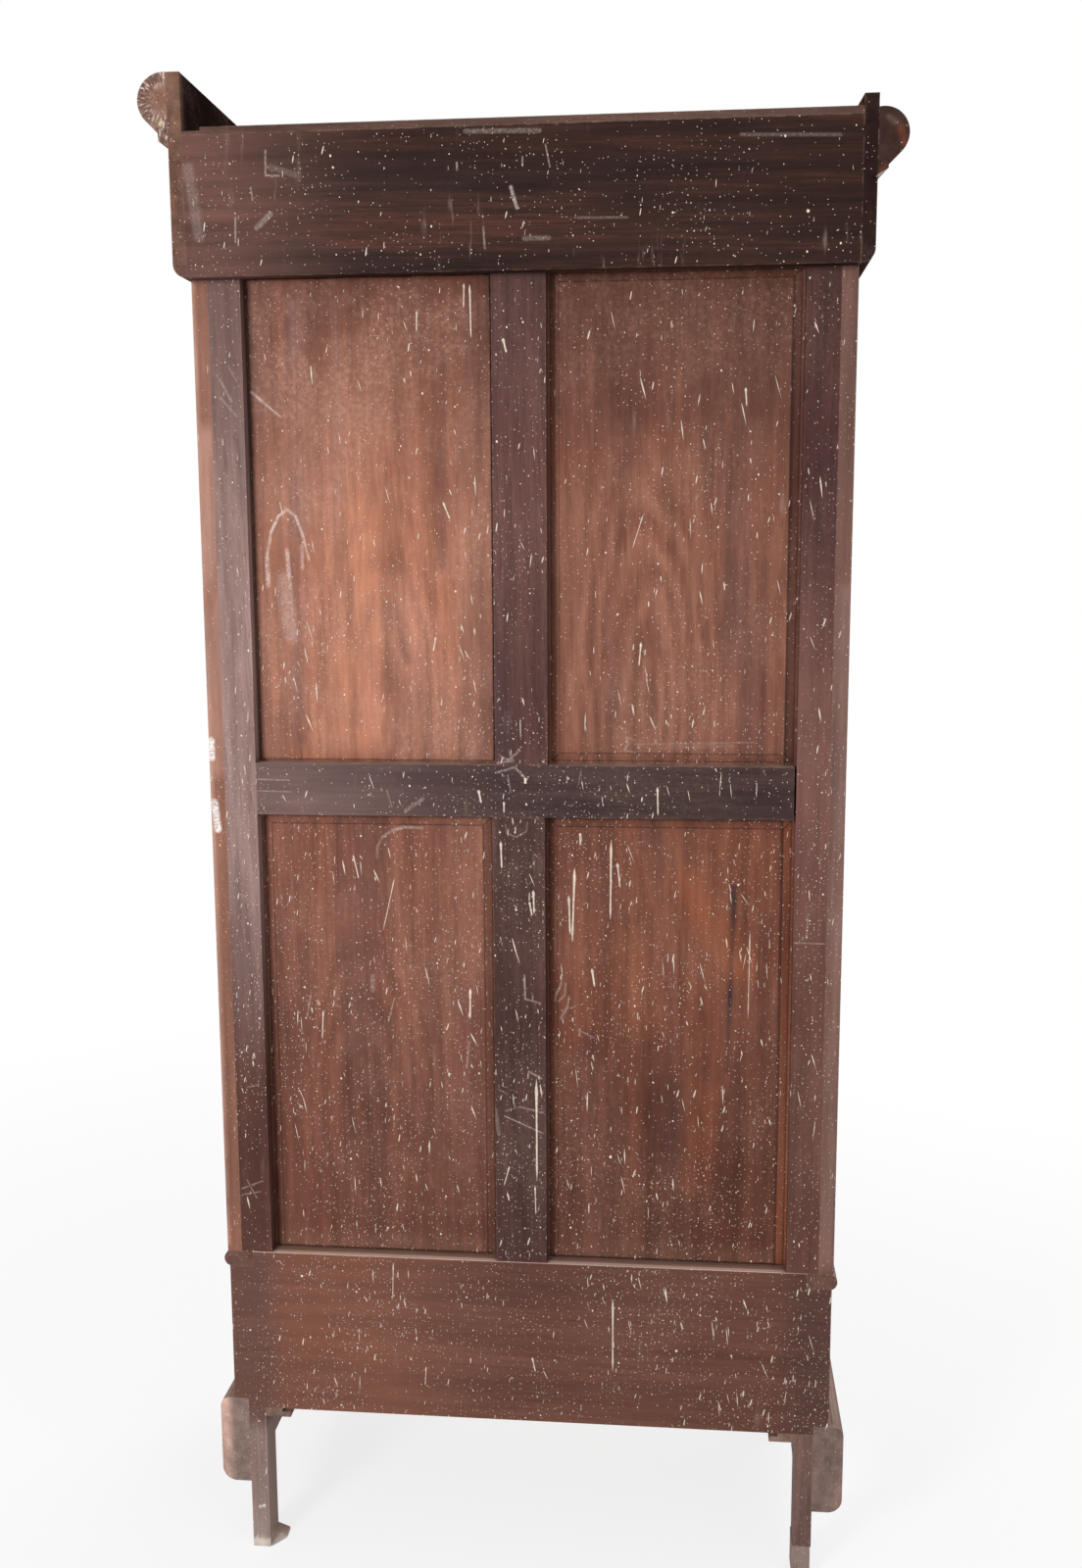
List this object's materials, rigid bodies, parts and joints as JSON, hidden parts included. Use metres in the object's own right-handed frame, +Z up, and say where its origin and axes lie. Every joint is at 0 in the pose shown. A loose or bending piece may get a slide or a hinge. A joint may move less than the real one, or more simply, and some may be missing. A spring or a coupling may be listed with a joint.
{
  "type": "kas cupboard",
  "caption": "Tall wooden kas: half-round cornice, two panelled doors, one long drawer, bold base moulding and slab legs, with a framed and panelled back.",
  "frame": {"origin": "on the floor, under the middle of the box that holds the whole cupboard", "axes": "+Z up, the doors face -Y, +X is the right-hand side as seen from the front"},
  "size_m": [1.04, 0.6, 2.2062],
  "materials": {
    "frame_wood": "waxed, worn",
    "panel_wood": "waxed, worn",
    "base_wood": "waxed, worn",
    "leg_wood": "bare, dusty",
    "cornice_wood": "old dark varnish",
    "thin_board_wood": "bare",
    "case_wood": "varnished",
    "door_wood": "varnished",
    "door_panel_wood": "varnished",
    "drawer_front_wood": "varnished",
    "hinge_brass": "dull",
    "lock_iron": "dark",
    "key_steel": "worn"
  },
  "bodies": {
    "case": {"back_stile_left": "frame_wood", "back_stile_right": "frame_wood", "back_top_rail": "frame_wood", "back_mid_rail": "frame_wood", "back_muntin_upper": "frame_wood", "back_muntin_lower": "frame_wood", "back_panel_upper_left": "panel_wood", "back_panel_upper_right": "panel_wood", "back_panel_lower_left": "panel_wood", "back_panel_lower_right": "panel_wood", "base_back_board": "base_wood", "base_side_left": "base_wood", "base_side_right": "base_wood", "waist_board": "base_wood", "waist_rail_left": "base_wood", "waist_rail_right": "base_wood", "waist_rail_front": "base_wood", "base_moulding_left": "base_wood", "base_moulding_right": "base_wood", "base_moulding_front": "base_wood", "rear_leg_left": "leg_wood", "rear_leg_right": "leg_wood", "front_leg_left": "leg_wood", "front_leg_right": "leg_wood", "cornice_back_board": "cornice_wood", "cornice_side_left": "cornice_wood", "cornice_side_right": "cornice_wood", "cornice_front_board": "cornice_wood", "cornice_roll_left": "cornice_wood", "cornice_roll_right": "cornice_wood", "cornice_roll_front": "cornice_wood", "dust_board": "thin_board_wood", "drawer_runners": "thin_board_wood", "shelf_lower": "thin_board_wood", "shelf_middle": "thin_board_wood", "shelf_upper": "thin_board_wood", "case_side_left": "case_wood", "case_side_right": "case_wood", "hinge_leaves_and_pins_case": "hinge_brass"},
    "door_left": {"door_left_hinge_stile": "door_wood", "door_left_meeting_stile": "door_wood", "door_left_top_rail": "door_wood", "door_left_bottom_rail": "door_wood", "door_left_panel": "door_panel_wood", "hinge_leaves_door_left": "hinge_brass"},
    "door_right": {"door_right_hinge_stile": "door_wood", "door_right_meeting_stile": "door_wood", "door_right_top_rail": "door_wood", "door_right_bottom_rail": "door_wood", "door_right_panel": "door_panel_wood", "hinge_leaves_door_right": "hinge_brass", "lock_case": "lock_iron"},
    "drawer": {"drawer_bottom": "thin_board_wood", "drawer_side_left": "thin_board_wood", "drawer_side_right": "thin_board_wood", "drawer_back": "thin_board_wood", "drawer_front": "drawer_front_wood", "drawer_knobs": "drawer_front_wood"},
    "key": {"key": "key_steel"},
    "lock_bolt": {"lock_bolt": "lock_iron"}
  },
  "joints": [
    {"name": "door_left_hinge", "type": "hinge", "parent": "case", "child": "door_left", "pos_m": [-0.437, -0.2455, 1.21], "axis": [0, 0, -1], "range_deg": [0, 160]},
    {"name": "door_right_hinge", "type": "hinge", "parent": "case", "child": "door_right", "pos_m": [0.437, -0.2455, 1.21], "axis": [0, 0, 1], "range_deg": [0, 160]},
    {"name": "drawer_slide", "type": "slide", "parent": "case", "child": "drawer", "axis": [0, -1, 0], "range_m": [0, 0.33]},
    {"name": "key_turn", "type": "hinge", "parent": "door_right", "child": "key", "pos_m": [0.036, -0.24, 1.1], "axis": [0, -1, 0], "range_deg": [0, 180]},
    {"name": "bolt_slide", "type": "slide", "parent": "door_right", "child": "lock_bolt", "axis": [-1, 0, 0], "range_m": [0, 0.014]}
  ],
  "couplings": [
    {"joint": "key_turn", "follows": "bolt_slide", "rad_per_m": 224.39}
  ]
}
